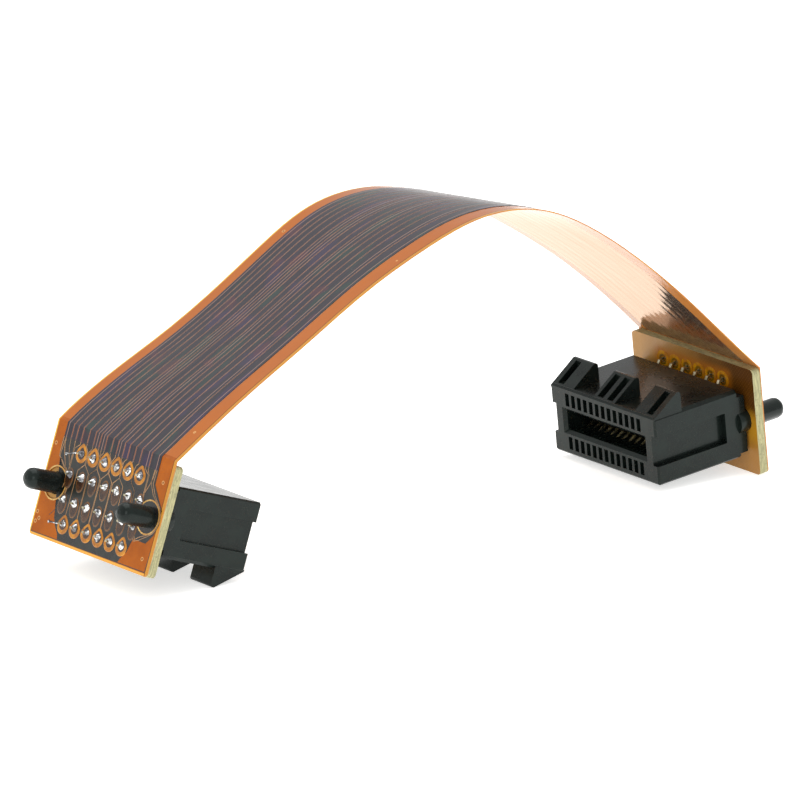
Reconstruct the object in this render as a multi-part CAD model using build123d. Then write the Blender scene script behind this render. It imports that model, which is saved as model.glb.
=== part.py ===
from build123d import *
from math import atan2, cos, degrees, radians, sin
import os

# Flexible bridge cable: a film circuit that arches between two card-edge sockets.
# Lengths are in millimetres and angles in degrees.
# Each end is made in its own frame: X across the strip, Y towards the snap ramps,
# Z from the stiffener board towards the mating face, with Z = 0 on the board's inner face.

# How far a cut runs past the face that it opens, and an added block runs into its neighbour
cut_overrun = 1.0
root_overlap = 0.2

# Film strip
strip_overhang = 1.35
film_thickness = 0.12
arch_length = 87.3
left_fold = 36.5
right_fold = 40.8
left_fold_rise = 0.45

# How far the arch has turned down, at evenly spaced places from the left fold to the right one
turned_down = [0.0, 4.5, 6.0, 6.2, 6.6, 15.3, 32.8, 51.0, 65.2, 69.0, 74.0, 77.2, 77.5]

# How far the near edge stands proud of the middle line there, and the far edge lies below it
edge_skew = [0.0, 0.25, 0.75, 0.8, 0.45, 0.1, 0.6, 1.05, 0.9, 0.6, 0.25, 0.0, 0.0]
steps_between_stations = 6

# Etched tracks on the outer side of the film, each strip one broad conductor or two narrow ones.
# The strips lie between these places across the film, counted from its middle to the near edge.
track_limits = [-8.15, -6.95, -6.1, -5.2, -4.05, -3.0, -2.0, -1.0, 0.15, 1.1, 2.3, 3.2, 4.25, 5.3, 7.1, 8.75]
track_gap = 0.1
track_thickness = 0.035
track_bond = 0.01
track_tail = 1.1

# Stiffener boards
board_height = 11.7
board_thickness = 1.0
board_corner_radius = 0.5
peg_hole_clearance = 0.08
film_peg_clearance = 0.53

# Contact positions
contact_count = 13
contact_pitch = 1.0
inner_row_offset = 1.35
outer_row_offset = 3.7

# Socket body
body_width = 17.5
body_height = 7.5
body_length = 11.0
standoff = 1.3
upper_edge_break = 0.35
lower_edge_break = 0.2
face_edge_break = 0.2

# Card slot and contact cavities
slot_width = 13.3
slot_height = 2.16
slot_depth = 8.0
slot_lead_in = 0.35
cavity_width = 0.62
cavity_height = 1.4
cavity_offset = 2.42
mouth_bar = 1.0

# Recess in each end wall, open at the mating face
recess_height = 3.3
recess_depth = 0.75
recess_length = 9.3

# Snap ramps on the key side
ramp_width = 3.5
ramp_side_margin = 0.1
ramp_height = 1.95
ramp_run = 3.3
ramp_land = 0.5
ramp_back_radius = 0.3
ramp_slot_width = 0.95
ramp_slot_foot_margin = 0.45
ramp_slot_peak_margin = 0.2
outer_ramp_slot_shift = 0.55
middle_ramp_slot_pitch = 1.6

# Feet, bosses and locating pegs
foot_length = 2.1
foot_reach_up = 2.9
foot_reach_down = 3.3
foot_gap = 0.35
boss_radius = 1.35
peg_offset = 7.95
peg_radius = 1.12
peg_reach = 5.0
peg_tip_radius = 0.85
peg_tip_steps = 3

# Stamped contacts
contact_width = 0.35
contact_metal = 0.2
tail_reach = 0.55
tail_hole = 0.5
shoulder_low = 0.5
shoulder_high = 0.95
spine_clearance = 0.12
spine_length = 3.6
bump_intrusion = 0.3
bump_back = 3.2
tip_back = 1.3
tip_inset = 0.25

# Solder joints
solder_base_radius = 0.5
solder_top_radius = 0.26
solder_height = 0.45
solder_sides = 6

# Values that follow from the ones above
strip_width = body_width + 2 * strip_overhang
face_z = standoff + body_length
slot_floor_z = face_z - slot_depth
cavity_inner = cavity_offset - cavity_height / 2
cavity_outer = cavity_offset + cavity_height / 2
ramp_peak_z = face_z - ramp_run
ramp_pitch = (body_width - ramp_width) / 2 - ramp_side_margin
contact_xs = [(i - (contact_count - 1) / 2) * contact_pitch for i in range(contact_count)]
inner_xs = contact_xs[0::2]
outer_xs = contact_xs[1::2]
tail_rows = {
    "a": (-outer_row_offset, outer_xs),
    "b": (-inner_row_offset, inner_xs),
    "c": (inner_row_offset, inner_xs),
    "d": (outer_row_offset, outer_xs),
}


def between(values, share):
    """Straight-line value of a list of stations at a share of the way along."""
    place = share * (len(values) - 1)
    index = min(int(place), len(values) - 2)
    part = place - index
    return values[index] * (1 - part) + values[index + 1] * part


def heading_vector(angle):
    return (cos(radians(angle)), sin(radians(angle)))


def outward_vector(angle):
    return (-sin(radians(angle)), cos(radians(angle)))


# The side view is worked out with the left board upright and its frame at the origin
left_board_heading = 90.0
arch_start_heading = left_board_heading - left_fold
arch_end_heading = arch_start_heading - turned_down[-1]
right_board_heading = arch_end_heading - right_fold


def middle_line():
    """Points and headings of the strip's inner face along its middle, fold to fold."""
    count = (len(turned_down) - 1) * steps_between_stations
    step = arch_length / count
    across, up = -board_thickness, board_height / 2 + left_fold_rise
    line = [(across, up, arch_start_heading)]
    for index in range(count):
        halfway = arch_start_heading - between(turned_down, (index + 0.5) / count)
        direction = heading_vector(halfway)
        across += direction[0] * step
        up += direction[1] * step
        heading = arch_start_heading - between(turned_down, (index + 1) / count)
        line.append((across, up, heading))
    return line[::steps_between_stations]


arch_line = middle_line()


def right_end_origin():
    """Where the right board's frame lies in the side view."""
    down = heading_vector(right_board_heading)
    outward = outward_vector(right_board_heading)
    corner = arch_line[-1]
    across = corner[0] + down[0] * board_height / 2 - outward[0] * board_thickness
    up = corner[1] + down[1] * board_height / 2 - outward[1] * board_thickness
    return (across, up)


def end_plane(origin, board_heading):
    """The frame of one end, placed in the side view."""
    outward = outward_vector(board_heading)
    return Plane(origin=(origin[0], 0, origin[1]), x_dir=(0, -1, 0), z_dir=(-outward[0], 0, -outward[1]))


left_end = end_plane((0.0, 0.0), left_board_heading)
right_end = end_plane(right_end_origin(), right_board_heading)


def fold_corner(point, board_heading, arch_heading, lift):
    """A corner of the strip at a fold, mitred so that both sides keep their lift."""
    board_side = outward_vector(board_heading)
    arch_side = outward_vector(arch_heading)
    spread = 1 + board_side[0] * arch_side[0] + board_side[1] * arch_side[1]
    across = point[0] + lift * (board_side[0] + arch_side[0]) / spread
    up = point[1] + lift * (board_side[1] + arch_side[1]) / spread
    return (across, up)


def strip_outline(side, lift, tail):
    """One long line of the strip's side view: board end, fold, arch, fold, board end."""
    first = arch_line[0]
    last = arch_line[-1]
    left_corner = fold_corner(first, left_board_heading, arch_start_heading, lift)
    right_corner = fold_corner(last, right_board_heading, arch_end_heading, lift)
    arch = [left_corner]
    for index in range(1, len(arch_line) - 1):
        across, up, heading = arch_line[index]
        outward = outward_vector(heading)
        stand = lift + side * between(edge_skew, index / (len(arch_line) - 1))
        arch.append((across + outward[0] * stand, up + outward[1] * stand))
    arch.append(right_corner)
    left_down = heading_vector(left_board_heading)
    right_down = heading_vector(right_board_heading)
    left_tail = tail + left_fold_rise
    left_tip = (left_corner[0] - left_down[0] * left_tail, left_corner[1] - left_down[1] * left_tail)
    right_tip = (right_corner[0] + right_down[0] * tail, right_corner[1] + right_down[1] * tail)
    return left_tip, arch, right_tip


def strip_side(side, low, high, tail):
    """Closed outline of a layer of the strip in the upright plane at one side of it."""
    y = -side * strip_width / 2

    def spot(point):
        return Vector(point[0], y, point[1])

    low_left, low_arch, low_right = strip_outline(side, low, tail)
    high_left, high_arch, high_right = strip_outline(side, high, tail)
    knots = [index / (len(low_arch) - 1) for index in range(len(low_arch))]
    low_curve = Edge.make_spline([spot(point) for point in low_arch], parameters=knots)
    high_curve = Edge.make_spline([spot(point) for point in high_arch], parameters=knots)
    return Wire([
        Edge.make_line(spot(low_left), spot(low_arch[0])),
        low_curve,
        Edge.make_line(spot(low_arch[-1]), spot(low_right)),
        Edge.make_line(spot(low_right), spot(high_right)),
        Edge.make_line(spot(high_right), spot(high_arch[-1])),
        high_curve,
        Edge.make_line(spot(high_arch[0]), spot(high_left)),
        Edge.make_line(spot(high_left), spot(low_left)),
    ])


def strip_layer(first_side, second_side, low, high, tail):
    """A layer of the strip between two places across its width (-1 far edge, 1 near edge)."""
    return Solid.make_loft(
        [strip_side(first_side, low, high, tail), strip_side(second_side, low, high, tail)],
        ruled=True,
    )


def block(x_range, y_range, z_range):
    """A box from its lowest and highest places along each axis."""
    size = [limits[1] - limits[0] for limits in (x_range, y_range, z_range)]
    middle = [(limits[1] + limits[0]) / 2 for limits in (x_range, y_range, z_range)]
    return Pos(*middle) * Box(*size)


def rod(x, y, radius, z_range):
    height = z_range[1] - z_range[0]
    return Pos(x, y, (z_range[0] + z_range[1]) / 2) * Cylinder(radius, height)


def tail_holes(low, high):
    """Square plated holes for every contact tail."""
    half = tail_hole / 2
    holes = []
    for row_y, xs in tail_rows.values():
        for x in xs:
            holes.append(block((x - half, x + half), (row_y - half, row_y + half), (low, high)))
    return holes


def stiffener_board():
    board = block(
        (-strip_width / 2, strip_width / 2),
        (-board_height / 2, board_height / 2),
        (-board_thickness, 0),
    )
    board = fillet(board.edges().filter_by(Axis.Z), board_corner_radius)
    cuts = tail_holes(-board_thickness, 0)
    for x in (-peg_offset, peg_offset):
        cuts.append(rod(x, 0, peg_radius + peg_hole_clearance, (-board_thickness, 0)))
    return board - cuts


def film_holes(low, high):
    """What is cut from the film over one board."""
    cuts = tail_holes(low, high)
    for x in (-peg_offset, peg_offset):
        cuts.append(rod(x, 0, peg_radius + film_peg_clearance, (low, high)))
    return cuts


def film_end_corners(board_end_side, low, high):
    """Slivers that round the film's two free corners like the board's."""
    slivers = []
    for x_side in (-1, 1):
        x = x_side * (strip_width / 2 - board_corner_radius)
        y = board_end_side * (board_height / 2 - board_corner_radius)
        x_limits = sorted((x, x_side * strip_width))
        y_limits = sorted((y, board_end_side * board_height))
        sliver = block(x_limits, y_limits, (low, high)) - rod(x, y, board_corner_radius, (low, high))
        slivers.append(sliver)
    return slivers


def film():
    layer = strip_layer(-1, 1, 0, film_thickness, board_height)
    low = -board_thickness - film_thickness - cut_overrun
    high = -board_thickness + cut_overrun
    left_cuts = film_holes(low, high) + film_end_corners(1, low, high)
    right_cuts = film_holes(low, high) + film_end_corners(-1, low, high)
    cuts = [left_end.location * cut for cut in left_cuts]
    cuts += [right_end.location * cut for cut in right_cuts]
    return layer - cuts


def tracks():
    low = film_thickness + track_bond
    high = low + track_thickness
    strips = []
    for start, stop in zip(track_limits, track_limits[1:]):
        first = (2 * start + track_gap) / strip_width
        second = (2 * stop - track_gap) / strip_width
        strips.append(strip_layer(first, second, low, high, track_tail))
    return strips


def ramp(x, slot_xs):
    """A snap ramp that rises backwards from the mating face, with its core-outs."""
    foot_y = body_height / 2
    peak_y = foot_y + ramp_height
    back_z = ramp_peak_z - ramp_land
    side_view = Polyline(
        (foot_y - face_edge_break - root_overlap, face_z),
        (foot_y - face_edge_break, face_z),
        (peak_y, ramp_peak_z),
        (peak_y, back_z),
        (foot_y - face_edge_break - root_overlap, back_z),
        close=True,
    )
    wedge = extrude(Plane.YZ * make_face(side_view), ramp_width / 2, both=True)
    back_edge = wedge.edges().filter_by(Axis.X).sort_by(Axis.Y)[-2:].sort_by(Axis.Z)[0]
    wedge = fillet(back_edge, ramp_back_radius)
    z_limits = (ramp_peak_z + ramp_slot_peak_margin, face_z - ramp_slot_foot_margin)
    half = ramp_slot_width / 2
    cores = [block((sx - half, sx + half), (foot_y, peak_y + cut_overrun), z_limits) for sx in slot_xs]
    return Pos(x, 0, 0) * (wedge - cores)


def card_slot():
    """The space for the card's edge, with a flared mouth."""
    well = block(
        (-slot_width / 2, slot_width / 2),
        (-slot_height / 2, slot_height / 2),
        (slot_floor_z, face_z + cut_overrun),
    )
    wide = Pos(0, 0, face_z) * Rectangle(slot_width + 2 * slot_lead_in, slot_height + 2 * slot_lead_in)
    narrow = Pos(0, 0, face_z - slot_lead_in) * Rectangle(slot_width, slot_height)
    return [well, loft([narrow, wide])]


def contact_cavities():
    """A cavity for each contact, with the window through which it reaches the card."""
    cuts = []
    half = cavity_width / 2
    for x in contact_xs:
        for side in (-1, 1):
            cavity_y = sorted((side * cavity_inner, side * cavity_outer))
            window_y = sorted((side * (slot_height / 2 - root_overlap), side * (cavity_inner + root_overlap)))
            cuts.append(block((x - half, x + half), cavity_y, (0, face_z + cut_overrun)))
            cuts.append(block((x - half, x + half), window_y, (slot_floor_z, face_z - mouth_bar)))
    return cuts


def locating_peg():
    """A round peg whose end is rounded in a few steps."""
    outline = [(0, 0), (peg_radius, 0)]
    for index in range(peg_tip_steps + 1):
        turn = radians(90 * index / peg_tip_steps)
        reach = peg_radius - peg_tip_radius + peg_tip_radius * cos(turn)
        outline.append((reach, -peg_reach + peg_tip_radius * (1 - sin(turn))))
    outline.append((0, -peg_reach))
    return revolve(Plane.XZ * make_face(Polyline(*outline, close=True)), Axis.Z)


def socket_housing():
    body = block(
        (-body_width / 2, body_width / 2),
        (-body_height / 2, body_height / 2),
        (standoff, face_z),
    )
    long_edges = body.edges().filter_by(Axis.Z).sort_by(Axis.Y)
    body = chamfer(long_edges[2:], upper_edge_break)
    long_edges = body.edges().filter_by(Axis.Z).sort_by(Axis.Y)
    body = chamfer(long_edges[:2], lower_edge_break)
    body = chamfer(body.faces().sort_by(Axis.Z)[-1].edges(), face_edge_break)
    adds = [
        ramp(-ramp_pitch, [-outer_ramp_slot_shift]),
        ramp(0, [-middle_ramp_slot_pitch / 2, middle_ramp_slot_pitch / 2]),
        ramp(ramp_pitch, [outer_ramp_slot_shift]),
    ]
    cuts = card_slot() + contact_cavities()
    for side in (-1, 1):
        foot_x = sorted((side * (body_width / 2 - foot_length), side * body_width / 2))
        adds.append(block(foot_x, (-foot_reach_down, foot_reach_up), (foot_gap, standoff + root_overlap)))
        adds.append(rod(side * peg_offset, 0, boss_radius, (0, standoff)))
        adds.append(Pos(side * peg_offset, 0, 0) * locating_peg())
        recess_x = sorted((side * (body_width / 2 - recess_depth), side * (body_width / 2 + cut_overrun)))
        recess_z = (face_z - recess_length, face_z + cut_overrun)
        cuts.append(block(recess_x, (-recess_height / 2, recess_height / 2), recess_z))
    return body + adds - cuts


def contact(x, row_y):
    """One stamped contact: tail, shoulder, spine, bowed beam and tip."""
    side = 1 if row_y > 0 else -1
    spine_y = cavity_outer - spine_clearance - contact_metal / 2
    bump_y = slot_height / 2 - bump_intrusion + contact_metal / 2
    tail_z = -board_thickness - film_thickness - tail_reach
    path = Polyline(
        (row_y, tail_z),
        (row_y, shoulder_low),
        (side * spine_y, shoulder_high),
        (side * spine_y, shoulder_high + spine_length),
        (side * bump_y, face_z - bump_back),
        (side * (cavity_inner + tip_inset), face_z - tip_back),
    )
    profile = trace(path, contact_metal)
    return Pos(x, 0, 0) * extrude(Plane.YZ * profile, contact_width / 2, both=True)


def solder_joint(x, row_y):
    """A tapering collar of solder on the film round one tail."""
    base_z = -board_thickness - film_thickness
    corners = []
    for radius, z in ((solder_base_radius, base_z), (solder_top_radius, base_z - solder_height)):
        for index in range(solder_sides):
            turn = radians(360 * index / solder_sides)
            corners.append((x + radius * cos(turn), row_y + radius * sin(turn), z))
    tail = block(
        (x - contact_width / 2, x + contact_width / 2),
        (row_y - contact_metal / 2, row_y + contact_metal / 2),
        (base_z - solder_height - cut_overrun, base_z + cut_overrun),
    )
    return ConvexPolyhedron(corners) - tail


def support_points():
    """The two edges that the cable stands on, in the side view."""
    left_point = left_end.from_local_coords((0, body_height / 2 + ramp_height, ramp_peak_z))
    right_point = right_end.from_local_coords((0, -board_height / 2, 0))
    return left_point, right_point


def at_end(end, shapes):
    """The shapes of one end, placed in the side view."""
    return [end.location * shape for shape in shapes]


pieces = {
    "flex_circuit": [film()],
    "copper_tracks": tracks(),
}
for end_name, end in (("left", left_end), ("right", right_end)):
    pieces[f"{end_name}_stiffener_board"] = at_end(end, [stiffener_board()])
    pieces[f"{end_name}_connector_housing"] = at_end(end, [socket_housing()])
    for row_name, (row_y, xs) in tail_rows.items():
        pieces[f"{end_name}_contacts_row_{row_name}"] = at_end(end, [contact(x, row_y) for x in xs])
        pieces[f"{end_name}_solder_row_{row_name}"] = at_end(end, [solder_joint(x, row_y) for x in xs])

# The cable is turned to stand on its supports, with its origin under the middle of its box
left_support, right_support = support_points()
rest_angle = degrees(atan2(right_support.Z - left_support.Z, right_support.X - left_support.X))
turned = {name: Rot(0, rest_angle, 0) * Compound(children=shapes) for name, shapes in pieces.items()}
whole_box = Compound(list(turned.values())).bounding_box()
middle = whole_box.center()
shift = Pos(-middle.X, -middle.Y, -whole_box.min.Z)

os.makedirs("parts", exist_ok=True)
for name, compound in turned.items():
    export_step(shift * compound, f"parts/{name}.step")
print("rest angle", round(rest_angle, 2), "size", whole_box.size)
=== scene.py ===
import bpy
import bmesh
import math
import random
from mathutils import Matrix, Vector
from mathutils.bvhtree import BVHTree


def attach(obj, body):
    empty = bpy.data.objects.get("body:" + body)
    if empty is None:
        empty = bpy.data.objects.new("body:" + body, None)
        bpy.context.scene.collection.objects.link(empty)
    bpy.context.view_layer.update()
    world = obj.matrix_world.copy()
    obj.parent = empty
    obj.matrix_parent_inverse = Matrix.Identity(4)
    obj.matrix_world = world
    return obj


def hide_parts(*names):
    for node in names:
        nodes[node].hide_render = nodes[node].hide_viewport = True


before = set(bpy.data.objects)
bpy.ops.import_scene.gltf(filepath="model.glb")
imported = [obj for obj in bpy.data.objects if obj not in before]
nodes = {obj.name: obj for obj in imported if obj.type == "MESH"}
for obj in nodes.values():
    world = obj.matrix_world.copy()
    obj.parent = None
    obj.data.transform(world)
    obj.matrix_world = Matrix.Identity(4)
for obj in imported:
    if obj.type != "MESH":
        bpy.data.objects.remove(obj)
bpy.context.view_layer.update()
perMetre = 1000  # the sizes below are in millimetres
print("frame loaded:", len(nodes), "CAD nodes")


# shader sums written as Python sums
class Value:
    def __init__(self, finish, socket):
        self.finish = finish
        self.socket = socket

    def do(self, operation, *others):
        return self.finish.sum(operation, self, *others)

    def __add__(self, other):
        return self.do("ADD", other)

    __radd__ = __add__

    def __sub__(self, other):
        return self.do("SUBTRACT", other)

    def __rsub__(self, other):
        return self.finish.sum("SUBTRACT", other, self)

    def __mul__(self, other):
        return self.do("MULTIPLY", other)

    __rmul__ = __mul__

    def __gt__(self, other):
        return self.do("GREATER_THAN", other)

    def __lt__(self, other):
        return self.do("LESS_THAN", other)

    def __abs__(self):
        return self.do("ABSOLUTE")


def colour(text):
    # a screen colour such as c9701c as linear light
    screen = [int(text[i:i + 2], 16) / 255 for i in (0, 2, 4)]
    linear = [p / 12.92 if p <= 0.04045 else ((p + 0.055) / 1.055) ** 2.4 for p in screen]
    return (*linear, 1.0)


class Finish:
    def __init__(self, name):
        self.material = bpy.data.materials.new(name)
        self.material.use_nodes = True
        self.tree = self.material.node_tree
        self.tree.nodes.clear()

    def node(self, kind, settings=None, inputs=None):
        # inputs are links, numbers, or a screen colour as text
        made = self.tree.nodes.new(kind)
        for key, setting in (settings or {}).items():
            setattr(made, key, setting)
        for key, given in (inputs or {}).items():
            if isinstance(given, Value):
                self.tree.links.new(given.socket, made.inputs[key])
            else:
                made.inputs[key].default_value = colour(given) if isinstance(given, str) else given
        return made

    def value(self, kind, settings=None, inputs=None, output=0):
        return Value(self, self.node(kind, settings, inputs).outputs[output])

    def sum(self, operation, *values):
        return self.value("ShaderNodeMath", {"operation": operation}, dict(enumerate(values)))

    def least(self, values):
        smallest = values[0]
        for value in values[1:]:
            smallest = self.sum("MINIMUM", smallest, value)
        return smallest

    def parts(self, vector):
        made = self.node("ShaderNodeSeparateXYZ", inputs={0: vector})
        return [Value(self, made.outputs[i]) for i in range(3)]

    def place(self):
        # where the point is on the object, in millimetres
        spot = self.value("ShaderNodeTexCoord", output="Object")
        return [part * perMetre for part in self.parts(spot)]

    def facing(self):
        return self.parts(self.value("ShaderNodeNewGeometry", output="Normal"))

    def vector(self, x, y, z):
        return self.value("ShaderNodeCombineXYZ", inputs={0: x, 1: y, 2: z})

    def noise(self, where, scale, detail=4.0):
        sockets = {"Vector": where, "Scale": scale, "Detail": detail, "Roughness": 0.55}
        return self.value("ShaderNodeTexNoise", inputs=sockets)

    def ease(self, value, low, high):
        # 0 at low and 1 at high, smooth between them
        sockets = {0: value, 1: low, 2: high, 3: 0.0, 4: 1.0}
        return self.value("ShaderNodeMapRange", {"interpolation_type": "SMOOTHSTEP"}, sockets)

    def blend(self, factor, first, second):
        sockets = {0: factor, 6: first, 7: second}
        return self.value("ShaderNodeMix", {"data_type": "RGBA"}, sockets, 2)

    def distance(self, where, point):
        sockets = {0: where, 1: point}
        return self.value("ShaderNodeVectorMath", {"operation": "DISTANCE"}, sockets, "Value")

    def bump(self, height, strength, distance):
        sockets = {"Height": height, "Strength": strength, "Distance": distance}
        return self.value("ShaderNodeBump", inputs=sockets)

    def close(self, **inputs):
        sockets = {key.replace("_", " "): given for key, given in inputs.items()}
        shader = self.node("ShaderNodeBsdfPrincipled", inputs=sockets)
        out = self.node("ShaderNodeOutputMaterial")
        self.tree.links.new(shader.outputs[0], out.inputs[0])
        return self.material


def boardFrame(node, inward):
    # an end's own frame, read off its board: x to the viewer, y to the ramps, z to the mating face
    mesh = nodes[node].data
    areas = {}
    for face in mesh.polygons:  # the largest face that looks inward along X
        if abs(face.normal.y) < 0.5 and face.normal.x * inward > 0:
            key = tuple(round(part, 3) for part in face.normal)
            areas[key] = areas.get(key, 0) + face.area
    deep = Vector(max(areas, key=areas.get)).normalized()
    side = Vector((0, -1, 0))
    down = deep.cross(side)
    depths = [vertex.co.dot(deep) for vertex in mesh.vertices]
    heights = [vertex.co.dot(down) for vertex in mesh.vertices]
    origin = deep * max(depths) + down * (max(heights) + min(heights)) / 2
    return {"origin": origin, "x": side, "y": down, "z": deep, "flip": inward}


ends = {
    "left": boardFrame("left_stiffener_board", 1),
    "right": boardFrame("right_stiffener_board", -1),
}
for name, end in ends.items():
    stands = [round(part * perMetre, 2) for part in end["origin"]]
    print(name, "board frame at", stands, "looking", [round(part, 3) for part in end["z"]])


def at(end, x, y, z):
    # a point given in the end's own millimetres
    return end["origin"] + (end["x"] * x + end["y"] * y + end["z"] * z) / perMetre


def mirrored(end, points):
    # points drawn for the left end, turned over for the right one
    return [(x, y * end["flip"]) for x, y in points]


filmTop = -1.12  # the film's outer face over a board
pegAt = 7.95     # the pegs' middles, to either side


def addObject(name, mesh, material):
    piece = bpy.data.objects.new(name, mesh)
    bpy.context.scene.collection.objects.link(piece)
    mesh.materials.append(material)
    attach(piece, "root")
    return piece


def newPiece(name, shapes, material, smooth=False):
    mesh = bpy.data.meshes.new(name)
    shapes.normal_update()
    shapes.to_mesh(mesh)
    shapes.free()
    if smooth:
        mesh.polygons.foreach_set("use_smooth", [True] * len(mesh.polygons))
    return addObject(name, mesh, material)


def addPlate(shapes, end, outline, low, high, inset):
    # a thin plate from an outline, its top drawn in a little so that its rim catches light
    middleX = sum(p[0] for p in outline) / len(outline)
    middleY = sum(p[1] for p in outline) / len(outline)
    bottom, top = [], []
    for x, y in outline:
        away = Vector((x - middleX, y - middleY))
        drawn = away * (1 - inset / away.length)
        bottom.append(shapes.verts.new(at(end, x, y, low)))
        top.append(shapes.verts.new(at(end, middleX + drawn.x, middleY + drawn.y, high)))
    for i in range(len(outline)):
        j = (i + 1) % len(outline)
        shapes.faces.new((bottom[i], bottom[j], top[j], top[i]))
    shapes.faces.new(top)
    shapes.faces.new(list(reversed(bottom)))


def addSlab(shapes, end, corners, low, high, walls):
    # a four-sided bit between two heights; walls are the sides that get a face
    lows = [shapes.verts.new(at(end, x, y, low)) for x, y in corners]
    highs = [shapes.verts.new(at(end, x, y, high)) for x, y in corners]
    shapes.faces.new(highs)
    for i in walls:
        j = (i + 1) % 4
        shapes.faces.new((lows[i], lows[j], highs[j], highs[i]))
    return lows


def addLine(shapes, end, points, width, low, high):
    # a flat track along a path, mitred where it turns
    left, right = [], []
    for i, point in enumerate(points):
        before = Vector(points[max(i - 1, 0)])
        after = Vector(points[min(i + 1, len(points) - 1)])
        here = Vector(point)
        first = (here - before) if i > 0 else (after - here)
        second = (after - here) if i < len(points) - 1 else first
        run = (first.normalized() + second.normalized())
        run = run.normalized() if run.length > 0.01 else first.normalized()
        stretch = 1 / max(abs(run.dot(first.normalized())), 0.5)
        aside = Vector((-run.y, run.x)) * width / 2 * stretch
        left.append(here + aside)
        right.append(here - aside)
    for i in range(len(points) - 1):
        corners = [left[i], left[i + 1], right[i + 1], right[i]]
        lows = addSlab(shapes, end, corners, low, high, range(4))
        shapes.faces.new(list(reversed(lows)))


def ringPoints(x, y, radius, start=0.0, stop=360.0, count=24):
    steps = count if stop - start >= 360 else count + 1
    turns = [math.radians(start + (stop - start) / count * i) for i in range(steps)]
    return [(x + radius * math.cos(turn), y + radius * math.sin(turn)) for turn in turns]


def addRing(shapes, end, middle, radii, low, high):
    first, second = [ringPoints(*middle, radius) for radius in radii]
    for i in range(len(first)):
        j = (i + 1) % len(first)
        corners = [first[i], first[j], second[j], second[i]]
        addSlab(shapes, end, corners, low, high, (0, 2))


film = {
    "face": ("b05c0c", "9c4d08"), "arch": "b8682c", "stain": "8a3a0c", "under": "c07c3c",
    "gap": ("8e6a54", "ab8872"), "copper": ("c6ae9f", "bca391"),
    "rimFar": "e8b850", "rimNear": "c88a34", "rimLine": "6e3a14", "rimFree": "e6a648",
    "archRun": (-37.0, 38.3), "leftEnd": -30.0,  # free of the boards; the left end lies beyond leftEnd
    "band": (-7.76, 8.52),  # across, from the near margin to the far one
    "rimFarAt": (9.86, 9.94), "rimNearAt": (9.70, 9.74), "rimLineAt": 9.68, "rimFreeAt": (5.50, 5.56),
    "holes": [(-9.3, 9.1, 30.1), (-8.5, -8.9, 30.9), (20.33, -8.97, 27.65), (-34.0, -8.54, 16.9)],
    "boardHoles": [(-9.5, -3.9), (8.84, -3.84), (8.7, 4.2), (-9.6, 3.4), (-9.1, 4.0), (-9.55, 4.4)],
    "holeRim": (0.18, 0.24), "holeInside": (0.08, 0.16), "holeRimColour": "e0ac6c",
    "holeColour": "7c3c12", "holeDip": (0.34, 0.2),
}


def makeFilm(end):
    # polyimide strip: amber margins, tan between the tracks, copper seen through it from below
    f = Finish("amberFilm")
    x, y, z = f.place()
    facingUp = f.facing()[2]
    where = f.vector(x, y, z)
    outer = facingUp > 0.0
    onArch = (x > film["archRun"][0]) * (x < film["archRun"][1])
    cloud = f.noise(where, 0.35)
    speck = f.noise(where, 2.6, 3.0)
    amber = f.blend(f.ease(cloud, 0.3, 0.72), *film["face"])
    amber = f.blend(onArch * 0.75, amber, film["arch"])
    amber = f.blend(f.ease(speck, 0.68, 0.78) * 0.4, amber, film["stain"])
    start, fall = [part * perMetre for part in end["origin"]], end["y"]
    down = (x - start[0]) * fall[0] + (z - start[2]) * fall[2]
    freeRim = f.ease(down, *film["rimFreeAt"]) * (x < film["leftEnd"])
    amber = f.blend(freeRim, amber, film["rimFree"])
    amber = f.blend(f.ease(y, *film["rimFarAt"]), amber, film["rimFar"])
    amber = f.blend(f.ease(-1 * y, *film["rimNearAt"]), amber, film["rimNear"])
    fromLine = abs(y + film["rimLineAt"])
    amber = f.blend(1 - f.ease(fromLine, 0.03, 0.06), amber, film["rimLine"])
    near, far = film["band"]
    half = (far - near) / 2
    band = f.ease(abs(y - (near + far) / 2), half, half - 0.05) * onArch
    gap = f.blend(f.ease(f.noise(where, 1.1), 0.35, 0.65), *film["gap"])
    top = f.blend(band, amber, gap)
    spots = film["holes"] + [at(end, *hole, filmTop) * perMetre for hole in film["boardHoles"]]
    fromHole = f.least([f.distance(where, spot) for spot in spots])
    rim = 1 - f.ease(fromHole, *film["holeRim"])
    top = f.blend(rim * 0.8, top, film["holeRimColour"])
    top = f.blend(1 - f.ease(fromHole, *film["holeInside"]), top, film["holeColour"])
    streak = f.ease(f.noise(f.vector(x * 0.08, y * 1.4, z * 0.08), 1.0), 0.35, 0.65)
    under = f.blend(band, film["under"], f.blend(streak, *film["copper"]))
    metal = band * (1 - outer)
    ripple = f.noise(f.vector(x * 0.25, y * 0.5, z * 0.25), 1.0, 2.0)
    ridges = f.sum("SINE", y * 4.2 + ripple * 3.0) * 0.10 * band
    relief = ripple + ridges - f.ease(fromHole, *film["holeDip"]) * 0.3
    return f.close(
        Base_Color=f.blend(outer, under, top),
        Metallic=metal * 0.9,
        Roughness=0.16 - metal * 0.07 + f.ease(speck, 0.4, 0.8) * 0.08,
        Normal=f.bump(relief, 0.05, 0.001),
        Specular_IOR_Level=0.3,
        Specular_Tint="f3e0ce",
        Coat_Weight=0.08,
        Coat_Roughness=0.10,
    )


track = {
    "dark": ("1e1a1f", "2c272d"), "green": "163a2e", "violet": "35264a", "rose": "56262f",
    # speck is pale flecks together with painted glints
    "speck": "a8a098", "line": "a88270",
    "thin": [8.08, 3.04, 2.08, -0.84, -5.56, -7.24],  # where one strip stands for two conductors
    "gaps": [7.28, 6.48, 5.6, 4.52, 3.52, 2.56, 1.6, 0.52, -0.4, -1.48, -2.32, -3.36, -4.36, -6.04],
    "gapHalf": 0.04, "lineEdge": (0.035, 0.055),
}


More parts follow.
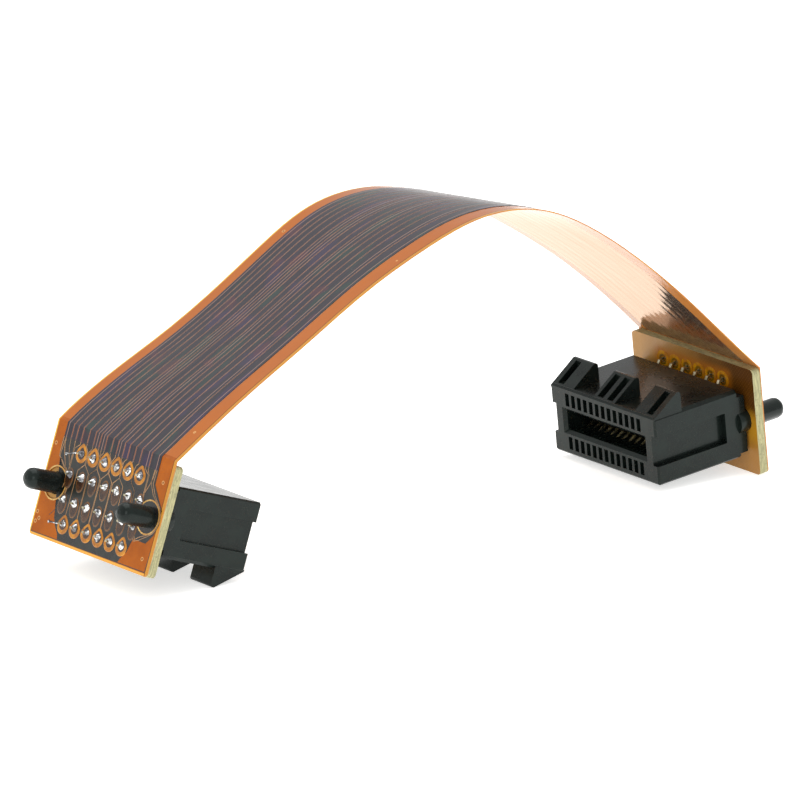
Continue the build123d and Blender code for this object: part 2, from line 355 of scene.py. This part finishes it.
def makeTracks():
    # dark covered copper with fine tan lines
    f = Finish("coveredCopper")
    x, y, z = f.place()
    where = f.vector(x, y, z)
    fromThin = [abs(y - middle) for middle in track["thin"]]
    fromGaps = [f.sum("MAXIMUM", abs(y - middle) - track["gapHalf"], 0.0) for middle in track["gaps"]]
    line = 1 - f.ease(f.least(fromThin + fromGaps), *track["lineEdge"])
    streak = f.noise(f.vector(x * 0.1, y * 5.0, z * 0.1), 1.0, 3.0)
    patch = f.noise(f.vector(x * 0.3, y * 0.8, z * 0.3), 0.6, 3.0)
    blot = f.noise(f.vector(x * 0.5, y * 0.9, z * 0.5 + 9.0), 0.5, 3.0)
    grain = f.noise(where, 6.0, 2.0)
    dark = f.blend(f.ease(streak, 0.3, 0.7), *track["dark"])
    dark = f.blend(f.ease(patch, 0.54, 0.66) * 0.6, dark, track["green"])
    dark = f.blend(f.ease(patch, 0.46, 0.34) * 0.5, dark, track["violet"])
    dark = f.blend(f.ease(blot, 0.6, 0.7) * 0.5, dark, track["rose"])
    # pale specks: flecks, and painted glints
    dark = f.blend(f.ease(grain, 0.76, 0.8) * 0.6, dark, track["speck"])
    return f.close(
        Base_Color=f.blend(line * 0.8, dark, track["line"]),
        Roughness=0.27 + f.ease(streak, 0.2, 0.8) * 0.12,
        Normal=f.bump(streak * 0.6 + grain * 0.3, 0.08, 0.0002),
        Specular_Tint="e6e2f4",
        Coat_Weight=0.2,
        Coat_Roughness=0.16,
    )


board = {
    # shadeSide and lightSide are painted shade and painted light; glow and padGlow are painted glows
    "edge": ("999671", "bfb98a"), "dust": "7a7458", "shadeSide": "4c2a04", "lightSide": "b8863c",
    "low": "a8742a", "glow": "c08a1c", "padGlow": "b26a0e", "thread": "c89c54", "threads": 14.0,
}


def makeBoard(name, end):
    # glass-fibre board: layered speckled edge, amber-brown face seen through its resin, with painted shade
    # and light on the face: darker to the near side, lighter further off, and a painted glow by the near edge
    # and round the pads
    f = Finish(name)
    x, y, z = f.place()
    facingX, _, facingZ = f.facing()
    where = f.vector(x, y, z)
    deep, start, fall = end["z"], end["origin"] * perMetre, end["y"]
    face = f.ease(abs(facingX * deep.x + facingZ * deep.z), 0.8, 0.95)
    depth = x * deep.x + z * deep.z
    along = (x - start.x) * fall.x + (z - start.z) * fall.z
    fibre = f.noise(f.vector(depth * 7.0, y * 0.8, along * 0.8), 1.0, 5.0)
    speck = f.noise(where, 5.0, 2.0)
    cloud = f.noise(where, 0.35, 3.0)
    edge = f.blend(f.ease(fibre, 0.35, 0.65), *board["edge"])
    edge = f.blend(f.ease(speck, 0.56, 0.7) * 0.6, edge, board["dust"])
    weave = f.sum("SINE", y * board["threads"]) * f.sum("SINE", along * board["threads"])
    # painted shade on the near side of the face, painted light further off
    resinAndPaintedLight = f.blend(f.ease(y + cloud * 4.0, -7.0, 11.0), board["shadeSide"], board["lightSide"])
    resinAndPaintedLight = f.blend(f.ease(along, 1.5, -2.5) * f.ease(y, 8.0, 2.0), resinAndPaintedLight, board["low"])
    # a painted glow by the near edge
    glow = f.ease(abs(along - 0.4 + cloud * 2.0), 2.6, 0.6) * f.ease(y, -8.2, -9.2)
    resinAndPaintedLight = f.blend(glow * 0.8, resinAndPaintedLight, board["glow"])
    # a painted glow round the pads
    byPads = f.ease(abs(abs(along) - 4.0), 1.5, 0.5) * f.ease(abs(y) - cloud, 6.4, 5.2)
    resinAndPaintedLight = f.blend(byPads * 0.75, resinAndPaintedLight, board["padGlow"])
    resinAndPaintedLight = f.blend(f.ease(weave, 0.2, 0.9) * 0.12, resinAndPaintedLight, board["thread"])
    return f.close(
        Base_Color=f.blend(face, edge, resinAndPaintedLight),
        Roughness=0.55 - face * 0.25,
        Normal=f.bump(fibre + speck * 0.3, 0.25, 0.0002),
        Specular_IOR_Level=0.3,
        Coat_Weight=face * 0.15,
        Coat_Roughness=0.2,
    )


plastic = {"base": ("0b0f0e", "131b18"), "scuff": "242a26", "dust": "4a4e46"}


def makePlastic():
    # dark moulded plastic with a smooth skin, faint scuffs and dust
    f = Finish("socketPlastic")
    x, y, z = f.place()
    where = f.vector(x, y, z)
    grain = f.noise(where, 9.0, 3.0)
    cloud = f.noise(where, 0.5, 3.0)
    scuff = f.noise(f.vector(x * 0.6, y * 3.0, z * 0.6), 1.0, 4.0)
    base = f.blend(f.ease(cloud, 0.3, 0.7), *plastic["base"])
    base = f.blend(f.ease(scuff, 0.62, 0.8) * 0.15, base, plastic["scuff"])
    base = f.blend(f.ease(grain, 0.76, 0.82) * 0.2, base, plastic["dust"])
    return f.close(
        Base_Color=base,
        Roughness=0.24 + f.ease(cloud, 0.2, 0.8) * 0.08,
        Normal=f.bump(grain, 0.015, 0.0001),
        Specular_IOR_Level=0.22,
        Specular_Tint="dff0ea",
        Coat_Weight=0.15,
        Coat_Roughness=0.08,
    )


def makeMetal(name, bright, darkPatch, rough, scale):
    f = Finish(name)
    cloud = f.noise(f.vector(*f.place()), scale)
    return f.close(
        Base_Color=f.blend(f.ease(cloud, 0.42, 0.58), bright, darkPatch),
        Metallic=1.0,
        Roughness=rough + f.ease(cloud, 0.3, 0.8) * 0.15,
        Normal=f.bump(cloud, 0.35, 0.0003),
    )


def makeGloss(name, first, second, rough=0.25, metal=0.0, scale=1.2):
    # a lacquered patch on the film
    f = Finish(name)
    cloud = f.noise(f.vector(*f.place()), scale, 3.0)
    return f.close(
        Base_Color=f.blend(f.ease(cloud, 0.32, 0.68), first, second),
        Metallic=metal,
        Roughness=rough + f.ease(cloud, 0.3, 0.8) * 0.1,
        Normal=f.bump(cloud, 0.15, 0.0003),
        Coat_Weight=0.5,
        Coat_Roughness=0.12,
    )


metals = {
    "contacts": {"bright": (0.66, 0.60, 0.42, 1), "darkPatch": (0.36, 0.32, 0.20, 1), "rough": 0.28, "scale": 2.2},
    # the solder's dark patches are painted reflections of dark things round it
    "solder": {"bright": (0.78, 0.80, 0.80, 1), "darkPatch": (0.16, 0.16, 0.17, 1), "rough": 0.14, "scale": 1.5},
}
finishes = {
    "film": makeFilm(ends["left"]),
    "tracks": makeTracks(),
    "leftBoard": makeBoard("leftFibre", ends["left"]),
    "rightBoard": makeBoard("rightFibre", ends["right"]),
    "plastic": makePlastic(),
    "contacts": makeMetal("contactMetal", **metals["contacts"]),
    "solder": makeMetal("solderMetal", **metals["solder"]),
    "goldPad": makeGloss("padUnderFilm", "d28a14", "a8640c", rough=0.2, metal=0.25),
    "brownPad": makeGloss("darkPad", "7a4c18", "4e3418", metal=0.1),
    "innerRing": makeGloss("ringThroughResin", "d89a16", "b06c0a", rough=0.22),
    "innerPad": makeGloss("padThroughResin", "8a6a14", "6a4a0c"),
    "well": makeGloss("fluxWell", "2a1a10", "4a2c14", rough=0.18),
    "fanOut": makeGloss("fanOutCopper", "150f0e", "181c14", scale=0.6),
    "gapLine": makeGloss("gapLine", "b98a5c", "8a6844"),
    "darkLine": makeGloss("etchedLine", "2a1a14", "3c2418", rough=0.3),
    # the peg lips' bright colour is a painted highlight
    "lightLine": makeGloss("glintLine", "e8c070", "c99040", rough=0.2, metal=0.3),
}
nodeFinish = {
    "flex_circuit": "film", "copper_tracks": "tracks", "left_stiffener_board": "leftBoard",
    "right_stiffener_board": "rightBoard", "housing": "plastic", "contacts": "contacts", "solder": "solder",
}
for name, node in nodes.items():
    pick = next(finish for part, finish in nodeFinish.items() if part in name)
    node.data.materials.clear()
    node.data.materials.append(finishes[pick])
print("finishes made:", len(finishes))

softening = {"weld": 0.002, "width": 0.09, "segments": 2, "angle": 35}
for name in ("left_connector_housing", "right_connector_housing"):
    weld = nodes[name].modifiers.new("joinFaces", "WELD")
    weld.merge_threshold = softening["weld"] / perMetre
    bevel = nodes[name].modifiers.new("softEdges", "BEVEL")
    bevel.width = softening["width"] / perMetre
    bevel.segments = softening["segments"]
    bevel.limit_method = "ANGLE"
    bevel.angle_limit = math.radians(softening["angle"])
    bevel.harden_normals = False
print("socket edges softened")

# the real film sags on the viewer's side, and its tracks run a little nearer to the far edge
lay = {
    "halfWidth": 10.1, "archRun": (-37.0, 38.2), "foldAt": -37.4, "settle": 4, "sharpFrom": 30,
    # depth, middle and reach of each dip along X
    "nearSag": ((0.85, -23.0, 8.5), (0.35, -12.0, 12.0)), "farSag": ((0.2, -20.0, 14.0),),
    "weld": 0.0005,
    # edges between the tracks across the film: in the solid, and as they really lie
    "solid": (-8.75, -7.1, -5.3, -4.25, -3.2, -2.3, -1.1, -0.15,
              1.0, 2.0, 3.0, 4.05, 5.2, 6.1, 6.95, 8.15),
    "real": (-7.72, -6.04, -4.36, -3.36, -2.32, -1.48, -0.4, 0.52,
             1.6, 2.56, 3.52, 4.52, 5.6, 6.48, 7.28, 8.48),
}
filmMesh = nodes["flex_circuit"].data
filmCorners = [vertex.co.copy() for vertex in filmMesh.vertices]
filmTree = BVHTree.FromPolygons(filmCorners, [tuple(face.vertices) for face in filmMesh.polygons])


def dip(dips, x):
    return sum(deep * math.exp(-((x - middle) / reach) ** 2) for deep, middle, reach in dips)


def sag(x, y):
    # how far the film hangs lower at a place, nothing at the fold
    nearShare = (lay["halfWidth"] - y) / (2 * lay["halfWidth"])
    start = min(max((x - lay["foldAt"]) / lay["settle"], 0.0), 1.0)
    depth = dip(lay["nearSag"], x) * nearShare + dip(lay["farSag"], x) * (1 - nearShare)
    return depth * start * start * (3 - 2 * start)


def filmHeight(x, y):
    above = Vector((x / perMetre, y / perMetre, 0.1))
    return filmTree.ray_cast(above, Vector((0, 0, -1)))[0].z * perMetre


def realPlace(y):
    # where a place across the solid's tracks really lies
    solid, real = lay["solid"], lay["real"]
    k = min(sum(1 for place in solid[1:-1] if y > place), len(solid) - 2)
    return real[k] + (y - solid[k]) / (solid[k + 1] - solid[k]) * (real[k + 1] - real[k])


def relay(node, name, material, moveAcross):
    # a copy of a film or track solid, laid as the real one lies
    shapes = bmesh.new()
    shapes.from_mesh(nodes[node].data)
    bmesh.ops.remove_doubles(shapes, verts=shapes.verts, dist=lay["weld"] / perMetre)
    for vertex in shapes.verts:
        x, y, z = vertex.co * perMetre
        newY = realPlace(y) if moveAcross else y
        if lay["archRun"][0] < x < lay["archRun"][1]:
            if moveAcross:
                z += filmHeight(x, newY) - filmHeight(x, y)
            z -= sag(x, newY)
        vertex.co = Vector((x, newY, z)) / perMetre
    # made again from plain lists, so that no shading is carried over from the solid
    shapes.verts.index_update()
    vertices = [vertex.co.copy() for vertex in shapes.verts]
    faces = [[corner.index for corner in face.verts] for face in shapes.faces]
    shapes.free()
    mesh = bpy.data.meshes.new(name)
    mesh.from_pydata(vertices, [], faces)
    mesh.polygons.foreach_set("use_smooth", [True] * len(mesh.polygons))
    mesh.set_sharp_from_angle(angle=math.radians(lay["sharpFrom"]))
    piece = addObject(name, mesh, material)
    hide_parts(node)


relay("flex_circuit", "filmStrip", finishes["film"], False)
relay("copper_tracks", "trackStrips", finishes["tracks"], True)
print("film and tracks laid")

rows = {  # the contact tails, from the fold to the free edge on the left board
    "a": {"y": -3.7, "xs": [-5, -3, -1, 1, 3, 5]},
    "b": {"y": -1.35, "xs": [-6, -4, -2, 0, 2, 4, 6]},
    "c": {"y": 1.35, "xs": [-6, -4, -2, 0, 2, 4, 6]},
    "d": {"y": 3.7, "xs": [-5, -3, -1, 1, 3, 5]},
}
solderBlob = {"radius": 0.47, "height": 0.50, "rings": 7, "turns": 18, "lump": 0.12, "lean": 0.12}


def addBlob(shapes, end, x, y, size, seed):
    # a domed drop of solder, uneven from one tail to the next, drawn up round its tail
    chance = random.Random(seed)
    lean = [chance.uniform(-size["lean"], size["lean"]) for _ in range(2)]
    phase = [chance.uniform(0, 6.28) for _ in range(3)]
    grown = size["radius"] * chance.uniform(0.9, 1.08)
    tall = size["height"] * chance.uniform(0.9, 1.12)
    turns, rings = size["turns"], size["rings"]
    loops = []
    for i in range(rings + 1):
        up = i / rings
        last = i == rings
        reach = 0 if last else grown * (1 - up ** 1.5) ** 0.62 * (1 - 0.18 * math.sin(up * math.pi))
        loop = []
        for j in range(1 if last else turns):
            turn = math.tau * j / turns
            lumps = math.sin(2 * turn + phase[0]) + math.sin(3 * turn + phase[1] + 4 * up)
            bulge = 1 + size["lump"] * lumps
            px = x + lean[0] * up + reach * bulge * math.cos(turn)
            py = y + lean[1] * up + reach * bulge * math.sin(turn)
            loop.append(shapes.verts.new(at(end, px, py, filmTop - tall * up - 0.005)))
        loops.append(loop)
    for i in range(rings):
        lower, upper = loops[i], loops[i + 1]
        for j in range(turns):
            k = (j + 1) % turns
            if len(upper) > 1:
                shapes.faces.new((lower[j], lower[k], upper[k], upper[j]))
            else:
                shapes.faces.new((lower[j], lower[k], upper[0]))
    shapes.faces.new(list(reversed(loops[0])))


for name, end in ends.items():
    blobs = bmesh.new()
    for rowName, row in rows.items():
        for x in row["xs"]:
            addBlob(blobs, end, x, row["y"], solderBlob, f"{name}{rowName}{x}")
    bmesh.ops.recalc_face_normals(blobs, faces=blobs.faces)
    piece = newPiece(f"{name}SolderBlobs", blobs, finishes["solder"], smooth=True)
    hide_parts(*[f"{name}_solder_row_{rowName}" for rowName in rows])
print("solder blobs made")

# drop-shaped gold pads in the outer rows, oval brown ones in the inner rows
dropPad = {
    "radius": 0.96, "tip": 1.16, "wellRadius": 0.57, "wellTip": 0.72, "corners": 28, "pinch": 0.35,
    "shift": {"a": 0.04, "d": 0.16},
}
ovalPad = {"wide": 0.72, "long": 1.15, "wellWide": 0.54, "wellLong": 0.95, "shift": 0.42, "corners": 26}
padRise = {"pad": 0.05, "wellFrom": 0.045, "well": 0.062, "padInset": 0.1, "wellInset": 0.03}


def teardrop(x, y, radius, tip, toFold):
    # round on one side, drawn out to a point on the side of the fold
    points = []
    for i in range(dropPad["corners"]):
        turn = math.tau * i / dropPad["corners"]
        px, py = math.sin(turn), -math.cos(turn)
        towards = max(0.0, -py)
        stretch = 1 + (tip / radius - 1) * towards ** 3
        pinch = 1 - dropPad["pinch"] * towards ** 2
        points.append((x + px * radius * pinch, y - py * radius * stretch * toFold))
    return points


def oval(x, y, wide, long):
    turns = [math.tau * i / ovalPad["corners"] for i in range(ovalPad["corners"])]
    return [(x + wide * math.cos(turn), y + long * math.sin(turn)) for turn in turns]


for name, end in ends.items():
    gold, brown, wells = bmesh.new(), bmesh.new(), bmesh.new()
    toFold = -end["flip"]
    for rowName, row in rows.items():
        for x in row["xs"]:
            if rowName in dropPad["shift"]:
                shapes, shift = gold, dropPad["shift"][rowName]
                pad = teardrop(x, row["y"] + shift, dropPad["radius"], dropPad["tip"], toFold)
                wellY = row["y"] + shift * 0.5
                well = teardrop(x, wellY, dropPad["wellRadius"], dropPad["wellTip"], toFold)
            else:
                shapes, middleY = brown, row["y"] - ovalPad["shift"] * toFold
                pad = oval(x, middleY, ovalPad["wide"], ovalPad["long"])
                well = oval(x, middleY, ovalPad["wellWide"], ovalPad["wellLong"])
            addPlate(shapes, end, pad, filmTop, filmTop - padRise["pad"], padRise["padInset"])
            low, high = filmTop - padRise["wellFrom"], filmTop - padRise["well"]
            addPlate(wells, end, well, low, high, padRise["wellInset"])
    newPiece(f"{name}GoldPads", gold, finishes["goldPad"])
    newPiece(f"{name}BrownPads", brown, finishes["brownPad"])
    newPiece(f"{name}PadWells", wells, finishes["well"])
print("pads made")

# rings of the outer rows seen through the resin on each board's inner face
innerPads = {
    "Rings": {"radii": (0.60, 0.98), "finish": "innerRing"},
    "Pads": {"radii": (0.36, 0.60), "finish": "innerPad"},
    "from": 0.002, "rise": 0.03,
}
for name, end in ends.items():
    for kind in ("Rings", "Pads"):
        rings = bmesh.new()
        for rowName in dropPad["shift"]:
            for x in rows[rowName]["xs"]:
                middle = (x, rows[rowName]["y"])
                addRing(rings, end, middle, innerPads[kind]["radii"], innerPads["from"], innerPads["rise"])
        bmesh.ops.recalc_face_normals(rings, faces=rings.faces)
        material = finishes[innerPads[kind]["finish"]]
        newPiece(f"{name}Inner{kind}", rings, material)
print("inner pads made")

fanOut = {
    "rise": 0.022, "lineWidth": 0.08, "lineRise": 0.034, "outerFrom": 0.01, "lineStart": -4.8,
    "starts": [-8.08, -7.28, -6.48, -5.6, -4.52, -3.52, -3.04, -2.56, -2.08, -1.6,
               -0.52, 0.4, 0.84, 1.48, 2.32, 3.36, 4.36, 5.56, 6.04, 7.24],
    "channels": [-6.35, -4, -2, 0, 2, 4, 6.35], "pads": [-5, -3, -1, 1, 3, 5],
    "stepsAside": (2.0, 5.0), "onPad": 0.25, "outside": 6.7, "outerPairs": (0.0, 0.34),
    # the dark field's outline, on either side of the notch round the far peg
    "fieldStart": [(-8.47, -4.95), (-8.6, -4.3), (-8.4, -3.1), (-7.75, -2.2)],
    "notch": (2.0, -75, 55, 10),
    "fieldEnd": [(-6.9, 2.4), (-6.7, 3.4), (-6.2, 4.2), (-5.55, 4.9), (-5.35, 5.42), (4.96, 5.42),
                 (5.35, 4.8), (6.0, 4.1), (6.3, 3.1), (6.55, 2.6), (8.6, 2.62), (9.5, 1.6),
                 (9.95, 0.4), (9.8, -1.1), (8.7, -2.3), (7.72, -3.4), (7.71, -4.95)],
}
pegLip = {"radii": (1.84, 1.68), "from": 0.002, "rise": 0.03}
insetLine = {  # set in from the board's free edges
    "paths": [([(-9.85, 5.0), (-9.8, 5.5), (9.6, 5.42), (9.7, 3.1)], 0.09),
              ([(-6.9, 2.6), (-7.6, 3.3)], 0.07)],
    "from": 0.001, "rise": 0.012,
}
testDot = {
    "radius": 0.2, "height": 0.1, "rings": 4, "turns": 12, "lump": 0.04, "lean": 0.12,
    "tail": 0.13, "tailRise": 0.05,
    "places": [((-7.5, -3.18), (-5.9, -3.6)), ((-7.41, 3.97), (-5.9, 3.85))],
}


def fanPath(x0, used):
    # a fine line from between two tracks down to its pad, or on between the pads
    start = (x0, fanOut["lineStart"])
    pad = min(fanOut["pads"], key=lambda middle: abs(x0 - middle))
    channel = min(fanOut["channels"], key=lambda middle: abs(x0 - middle))
    if fanOut["stepsAside"][0] < x0 < fanOut["stepsAside"][1]:
        return [start, (x0 - 0.35, -4.5), (channel - 0.15, -3.9), (channel - 0.1, -2.75),
                (channel + 0.8, -2.0), (channel + 0.9, 0.3)]
    if abs(x0 - pad) < fanOut["onPad"]:
        return [start, (x0, -4.6), (pad + (x0 - pad) * 0.3, -4.45)]
    if abs(x0) > fanOut["outside"]:
        return [start, (x0 * 0.99, -4.0), (x0 * 0.955, -3.2), (x0 * 0.9, -2.4), (x0 * 0.84, -1.4)]
    turn = used.get(channel, 0)
    used[channel] = turn + 1
    side = 1 if turn % 2 else -1
    lane = channel - 0.07 + 0.14 * (turn % 2)
    path = [start, (x0, -4.55), (lane, -4.05), (lane, -2.75)]
    if abs(channel) > 6:
        return path + [(lane, -1.4), (channel - 0.3 * side, 0.2)]
    return path + [(channel + side * reach, y) for reach, y in (
        (0.9, -2.0), (0.93, -0.75), (0.95, 0.3), (0.93, 1.9), (0.98, 2.75))]


def nearPath(gap):
    # round the near peg and back to the pads
    path = [(7.1 + gap, fanOut["lineStart"]), (7.05 + gap, -3.4), (7.85 + gap, -2.3)]
    path += ringPoints(pegAt, 0, 1.84 + gap * 0.3, -60, 62, 12)
    return path + [(7.4, 2.2 + gap), (6.75 - gap * 0.4, 2.6 + gap * 0.6), (6.45 - gap, 2.1)]


def farPath(gap):
    path = [(-8.1 - gap, fanOut["lineStart"]), (-8.25 - gap * 0.7, -3.8), (-8.3 - gap * 0.4, -2.8)]
    return path + [(-7.7, -2.25 - gap * 0.3)] + ringPoints(-pegAt, 0, 1.98 + gap * 0.35, -70, 40, 8)


for name, end in ends.items():
    outline = fanOut["fieldStart"] + ringPoints(-pegAt, 0, *fanOut["notch"]) + fanOut["fieldEnd"]
    field = bmesh.new()
    fieldTop = filmTop - fanOut["rise"]
    face = field.faces.new([field.verts.new(at(end, x, y, fieldTop)) for x, y in mirrored(end, outline)])
    bmesh.ops.triangulate(field, faces=[face])
    bmesh.ops.recalc_face_normals(field, faces=field.faces)
    newPiece(f"{name}FanOutField", field, finishes["fanOut"])

    lines = bmesh.new()
    lineTop = filmTop - fanOut["lineRise"]
    used = {}
    for x0 in fanOut["starts"]:
        path = mirrored(end, fanPath(x0, used))
        addLine(lines, end, path, fanOut["lineWidth"], fieldTop, lineTop)
    for gap in fanOut["outerPairs"]:
        for path in (nearPath(gap), farPath(gap)):
            low = filmTop - fanOut["outerFrom"]
            addLine(lines, end, mirrored(end, path), fanOut["lineWidth"], low, lineTop)
    newPiece(f"{name}GapLines", lines, finishes["gapLine"])

    # the film's cut round each peg, its lip painted bright as a highlight
    lips = bmesh.new()
    for x in (-pegAt, pegAt):
        addRing(lips, end, (x, 0), pegLip["radii"], filmTop - pegLip["from"], filmTop - pegLip["rise"])
    bmesh.ops.recalc_face_normals(lips, faces=lips.faces)
    newPiece(f"{name}PegLips", lips, finishes["lightLine"])

    inset = bmesh.new()
    for path, width in insetLine["paths"]:
        low, high = filmTop - insetLine["from"], filmTop - insetLine["rise"]
        addLine(inset, end, mirrored(end, path), width, low, high)
    newPiece(f"{name}InsetLine", inset, finishes["darkLine"])

    # test dots beside the first pad of the outer rows
    dots = bmesh.new()
    for (x, y), padEnd in testDot["places"]:
        addBlob(dots, end, x, y * end["flip"], testDot, f"{name}{y}")
        tail = mirrored(end, [(x, y), padEnd])
        addLine(dots, end, tail, testDot["tail"], filmTop, filmTop - testDot["tailRise"])
    bmesh.ops.recalc_face_normals(dots, faces=dots.faces)
    newPiece(f"{name}TestDots", dots, finishes["solder"], smooth=True)
print("fan-out made")

studio = {
    "floorSize": 6.0, "floorDrop": 0.00002, "floorShade": ((0.93, 0.93, 0.92, 1), (0.95, 0.95, 0.94, 1)),
    "floorGlow": 0.65, "skyStrength": 0.76,
    "topLight": {"place": (0.05, 0.15, 0.9), "aim": (0, 0, 0), "size": 1.0, "power": 5.0},
    "sideLight": {"place": (-0.7, -0.6, 0.35), "aim": (0, 0, 0.01), "size": 0.5, "power": 1.4},
}
half = studio["floorSize"] / 2
floorMesh = bpy.data.meshes.new("floor")
floorCorners = [(-half, -half, 0), (half, -half, 0), (half, half, 0), (-half, half, 0)]
floorMesh.from_pydata(floorCorners, [], [(0, 1, 2, 3)])
floor = bpy.data.objects.new("floor", floorMesh)
floor.location.z = -studio["floorDrop"]
bpy.context.scene.collection.objects.link(floor)
floorFinish = Finish("paleFloor")
floorX, floorY, _ = floorFinish.place()
paper = floorFinish.noise(floorFinish.vector(floorX * 0.02, floorY * 0.02, 0.0), 1.0)
paperShade = floorFinish.blend(paper, *studio["floorShade"])
floorMesh.materials.append(floorFinish.close(
    Base_Color=paperShade,
    Roughness=0.9,
    Emission_Color=paperShade,
    Emission_Strength=studio["floorGlow"],
))


def areaLight(name, place, aim, size, power):
    data = bpy.data.lights.new(name, "AREA")
    data.size = size
    data.energy = power
    lamp = bpy.data.objects.new(name, data)
    bpy.context.scene.collection.objects.link(lamp)
    lamp.location = place
    lamp.rotation_euler = (Vector(aim) - Vector(place)).to_track_quat("-Z", "Y").to_euler()


for name in ("topLight", "sideLight"):
    areaLight(name, **studio[name])
world = bpy.data.worlds.new("studioSky")
world.use_nodes = True
sky = world.node_tree.nodes["Background"]
sky.inputs[0].default_value = (1, 1, 1, 1)
sky.inputs[1].default_value = studio["skyStrength"]
bpy.context.scene.world = world
bpy.context.scene.view_settings.view_transform = "Standard"

view = {
    "place": (-0.81828, -1.06012, 0.39012), "aim": (0.58760, 0.76229, -0.27138),
    "side": (0.79258, -0.60977, 0.00331),
    "focal": 13467.7, "picture": 800, "sensor": 36.0,  # focal length and picture width in pixels
}
cameraData = bpy.data.cameras.new("photoView")
cameraData.sensor_width = view["sensor"]
cameraData.lens = view["focal"] / view["picture"] * view["sensor"]
cameraData.clip_start = 0.05
cameraData.clip_end = 50.0
camera = bpy.data.objects.new("photoView", cameraData)
bpy.context.scene.collection.objects.link(camera)
camera.location = view["place"]
aim, side = Vector(view["aim"]), Vector(view["side"])
camera.rotation_mode = "QUATERNION"
camera.rotation_quaternion = Matrix((side, side.cross(aim), -aim)).transposed().to_quaternion()
bpy.context.scene.camera = camera
print("floor, light and camera set")
